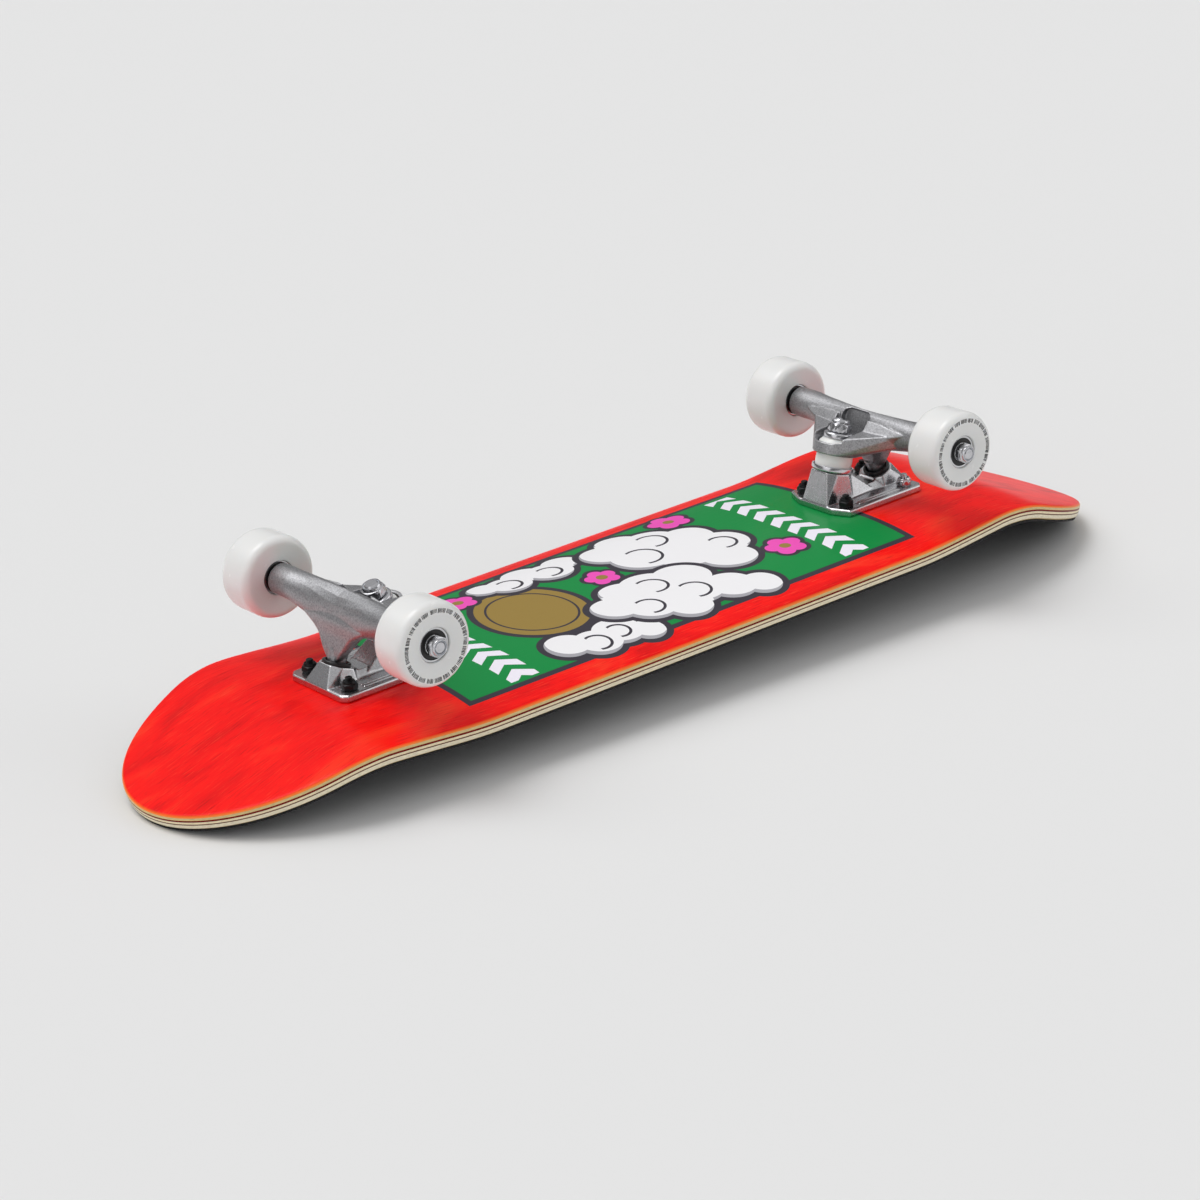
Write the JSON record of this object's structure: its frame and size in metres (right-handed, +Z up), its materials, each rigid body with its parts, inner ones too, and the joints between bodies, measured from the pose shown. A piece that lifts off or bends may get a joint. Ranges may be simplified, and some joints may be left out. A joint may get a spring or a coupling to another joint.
{
  "type": "skateboard",
  "caption": "Street skateboard lying wheels up: pressed maple deck with kicked nose and tail, sprung cast trucks and free-rolling hard urethane wheels.",
  "frame": {"origin": "on the floor under the centre of the bounding box; the board lies wheels up on its nose and tail", "axes": "+X along the board toward the nose, +Z up (out of the painted underside), +Y across the board; -Y is the rider's left. For riding, turn the board 180 degrees about X, then level the deck, which rests 1.33 degrees nose high here"},
  "size_m": [0.7738, 0.1992, 0.134],
  "materials": {
    "stained_maple": "clear lacquer over red stain",
    "grip": "coarse grit",
    "cast_aluminium": "raw cast, tumbled",
    "polished_aluminium": "polished cast",
    "zinc_steel": "zinc plated",
    "black_steel": "black oxide",
    "black_shield": "moulded rubber shield",
    "black_urethane": "moulded",
    "white_urethane": "cast and turned, glossy",
    "bushing_urethane": "cast, satin"
  },
  "bodies": {
    "root": {"deck": "stained_maple", "front_baseplate": "polished_aluminium", "front_board_side_bushing": "bushing_urethane", "front_board_side_washer": "zinc_steel", "front_bolt_1": "black_steel", "front_bolt_2": "black_steel", "front_bolt_3": "black_steel", "front_bolt_4": "zinc_steel", "front_bolt_nut_1": "black_steel", "front_bolt_nut_2": "black_steel", "front_bolt_nut_3": "black_steel", "front_bolt_nut_4": "zinc_steel", "front_kingpin": "zinc_steel", "front_kingpin_nut": "zinc_steel", "front_pivot_cup": "black_urethane", "front_road_side_bushing": "bushing_urethane", "front_road_side_washer": "zinc_steel", "grip_tape": "grip", "rear_baseplate": "polished_aluminium", "rear_board_side_bushing": "bushing_urethane", "rear_board_side_washer": "zinc_steel", "rear_bolt_1": "black_steel", "rear_bolt_2": "black_steel", "rear_bolt_3": "black_steel", "rear_bolt_4": "black_steel", "rear_bolt_nut_1": "black_steel", "rear_bolt_nut_2": "black_steel", "rear_bolt_nut_3": "black_steel", "rear_bolt_nut_4": "black_steel", "rear_kingpin": "zinc_steel", "rear_kingpin_nut": "zinc_steel", "rear_pivot_cup": "black_urethane", "rear_road_side_bushing": "bushing_urethane", "rear_road_side_washer": "zinc_steel"},
    "rear_hanger_body": {"rear_axle": "zinc_steel", "rear_hanger": "cast_aluminium", "rear_left_axle_nut": "zinc_steel", "rear_left_bearing_spacer": "zinc_steel", "rear_right_axle_nut": "zinc_steel", "rear_right_bearing_spacer": "zinc_steel"},
    "rear_left_wheel_body": {"rear_left_inner_bearing": "black_shield", "rear_left_outer_bearing": "black_shield", "rear_left_wheel": "white_urethane"},
    "rear_right_wheel_body": {"rear_right_inner_bearing": "black_shield", "rear_right_outer_bearing": "black_shield", "rear_right_wheel": "white_urethane"},
    "front_hanger_body": {"front_axle": "zinc_steel", "front_hanger": "cast_aluminium", "front_left_axle_nut": "zinc_steel", "front_left_bearing_spacer": "zinc_steel", "front_right_axle_nut": "zinc_steel", "front_right_bearing_spacer": "zinc_steel"},
    "front_left_wheel_body": {"front_left_inner_bearing": "black_shield", "front_left_outer_bearing": "black_shield", "front_left_wheel": "white_urethane"},
    "front_right_wheel_body": {"front_right_inner_bearing": "black_shield", "front_right_outer_bearing": "black_shield", "front_right_wheel": "white_urethane"}
  },
  "joints": [
    {"name": "rear_steer", "type": "hinge", "parent": "root", "child": "rear_hanger_body", "pos_m": [-0.20545, 0, 0.08561], "axis": [0.7926, 0, 0.6097], "range_deg": [-12, 12], "stiffness_Nm_per_rad": 90, "deforming": ["rear_board_side_bushing", "rear_road_side_bushing"]},
    {"name": "front_steer", "type": "hinge", "parent": "root", "child": "front_hanger_body", "pos_m": [0.17777, 0, 0.09451], "axis": [-0.8201, 0, 0.5723], "range_deg": [-12, 12], "stiffness_Nm_per_rad": 90, "deforming": ["front_board_side_bushing", "front_road_side_bushing"]},
    {"name": "rear_left_wheel_spin", "type": "hinge", "parent": "rear_hanger_body", "child": "rear_left_wheel_body", "pos_m": [-0.23371, -0.0808, 0.09684], "axis": [0, 1, 0], "continuous": true},
    {"name": "rear_right_wheel_spin", "type": "hinge", "parent": "rear_hanger_body", "child": "rear_right_wheel_body", "pos_m": [-0.23371, 0.0808, 0.09684], "axis": [0, 1, 0], "continuous": true},
    {"name": "front_left_wheel_spin", "type": "hinge", "parent": "front_hanger_body", "child": "front_left_wheel_body", "pos_m": [0.20548, -0.0808, 0.10704], "axis": [0, 1, 0], "continuous": true},
    {"name": "front_right_wheel_spin", "type": "hinge", "parent": "front_hanger_body", "child": "front_right_wheel_body", "pos_m": [0.20548, 0.0808, 0.10704], "axis": [0, 1, 0], "continuous": true}
  ]
}
